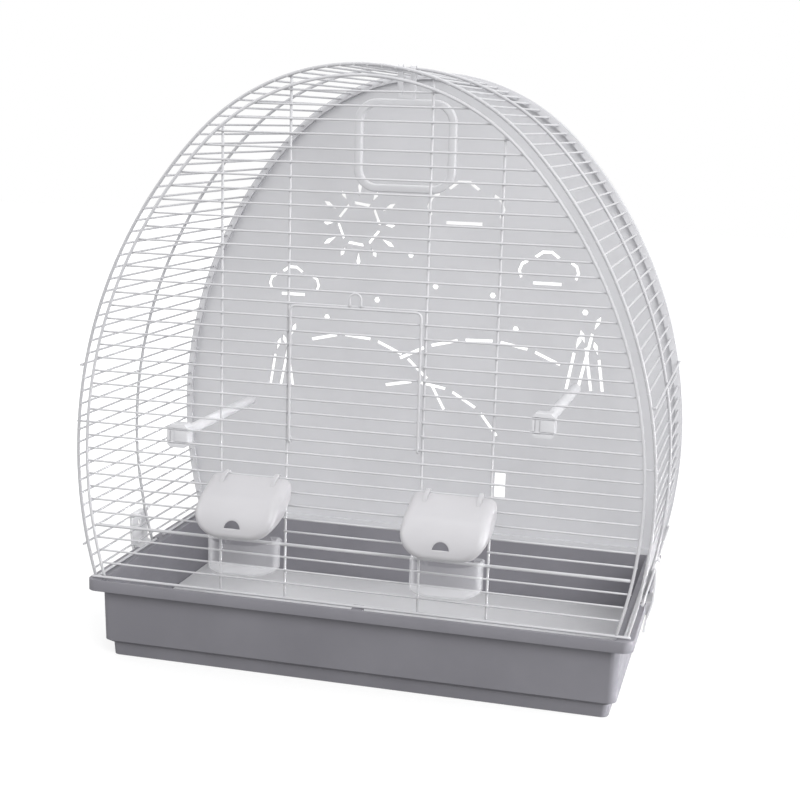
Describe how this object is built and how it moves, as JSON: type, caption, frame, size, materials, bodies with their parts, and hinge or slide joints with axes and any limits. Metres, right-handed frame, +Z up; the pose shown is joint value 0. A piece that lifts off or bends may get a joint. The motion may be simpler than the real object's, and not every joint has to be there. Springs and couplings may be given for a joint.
{
  "type": "bird cage",
  "caption": "Arched wire bird cage on a deep tray, with a drop-down front door, hooded feeder cups, perches, a swing, side clips and a solid back panel",
  "frame": {"origin": "Centre of the tray's flat underside, which is where the cage rests", "axes": "+X to the right seen from the front, +Y to the back panel, +Z up"},
  "size_m": [0.5538, 0.325, 0.572],
  "materials": {
    "white_wire": "white coated wire",
    "tray_plastic": "satin grey moulding",
    "liner_plastic": "pale grey sheet",
    "panel_plastic": "light grey sheet",
    "hood_plastic": "milky white moulding",
    "clear_plastic": "clear moulding",
    "clip_plastic": "milky white moulding",
    "swing_plastic": "white moulding",
    "perch_plastic": "pale grey moulding"
  },
  "bodies": {
    "cage": {"base_tray": "tray_plastic", "floor_liner": "liner_plastic", "sill_catch": "tray_plastic", "sill_wire": "white_wire", "left_rails": "white_wire", "right_rails": "white_wire", "front_arch": "white_wire", "front_frame": "white_wire", "middle_arch": "white_wire", "rear_arch": "white_wire", "band_wires_01": "white_wire", "band_wires_02": "white_wire", "band_wires_03": "white_wire", "band_wires_04": "white_wire", "band_wires_05": "white_wire", "band_wires_06": "white_wire", "band_wires_07": "white_wire", "band_wires_08": "white_wire", "band_wires_09": "white_wire", "band_wires_10": "white_wire", "top_rows": "white_wire", "middle_rows": "white_wire", "door_hinge_row": "white_wire", "lower_rows": "white_wire", "left_door_side_rows": "white_wire", "right_door_side_rows": "white_wire", "left_feeder_side_rows": "white_wire", "between_feeder_rows": "white_wire", "right_feeder_side_rows": "white_wire", "cross_wire": "white_wire", "left_outer_upright": "white_wire", "right_outer_upright": "white_wire", "left_inner_upright": "white_wire", "right_inner_upright": "white_wire", "back_panel": "panel_plastic", "left_perch_block": "perch_plastic", "right_perch_block": "perch_plastic", "left_perch_rod": "perch_plastic", "right_perch_rod": "perch_plastic"},
    "door": {"door_frame": "white_wire", "door_rows": "white_wire", "door_latch": "white_wire"},
    "left_hood": {"left_hood": "hood_plastic"},
    "right_hood": {"right_hood": "hood_plastic"},
    "left_cup": {"left_cup": "clear_plastic"},
    "right_cup": {"right_cup": "clear_plastic"},
    "left_clip": {"left_clip": "clip_plastic"},
    "right_clip": {"right_clip": "clip_plastic"},
    "swing": {"swing_loop": "swing_plastic", "swing_hanger": "swing_plastic"}
  },
  "joints": [
    {"name": "door_swing", "type": "hinge", "parent": "cage", "child": "door", "pos_m": [0, -0.13068, 0.2313], "axis": [1, 0, 0], "range_deg": [0, 90]},
    {"name": "left_hood_lift", "type": "hinge", "parent": "cage", "child": "left_hood", "pos_m": [-0.096, -0.13068, 0.1938], "axis": [-1, 0, 0], "range_deg": [0, 60]},
    {"name": "right_hood_lift", "type": "hinge", "parent": "cage", "child": "right_hood", "pos_m": [0.096, -0.13068, 0.1938], "axis": [-1, 0, 0], "range_deg": [0, 60]},
    {"name": "left_cup_lift", "type": "slide", "parent": "cage", "child": "left_cup", "axis": [0, 0, 1], "range_m": [0, 0.009]},
    {"name": "right_cup_lift", "type": "slide", "parent": "cage", "child": "right_cup", "axis": [0, 0, 1], "range_m": [0, 0.009]},
    {"name": "left_clip_turn", "type": "hinge", "parent": "cage", "child": "left_clip", "pos_m": [-0.26704, -0.008, 0.11122], "axis": [0, 1, 0], "range_deg": [0, 60]},
    {"name": "right_clip_turn", "type": "hinge", "parent": "cage", "child": "right_clip", "pos_m": [0.26704, -0.008, 0.11122], "axis": [0, -1, 0], "range_deg": [0, 60]},
    {"name": "swing_sway", "type": "hinge", "parent": "cage", "child": "swing", "pos_m": [0.00625, 0, 0.56803], "axis": [1, 0, 0], "range_deg": [-35, 35]}
  ]
}
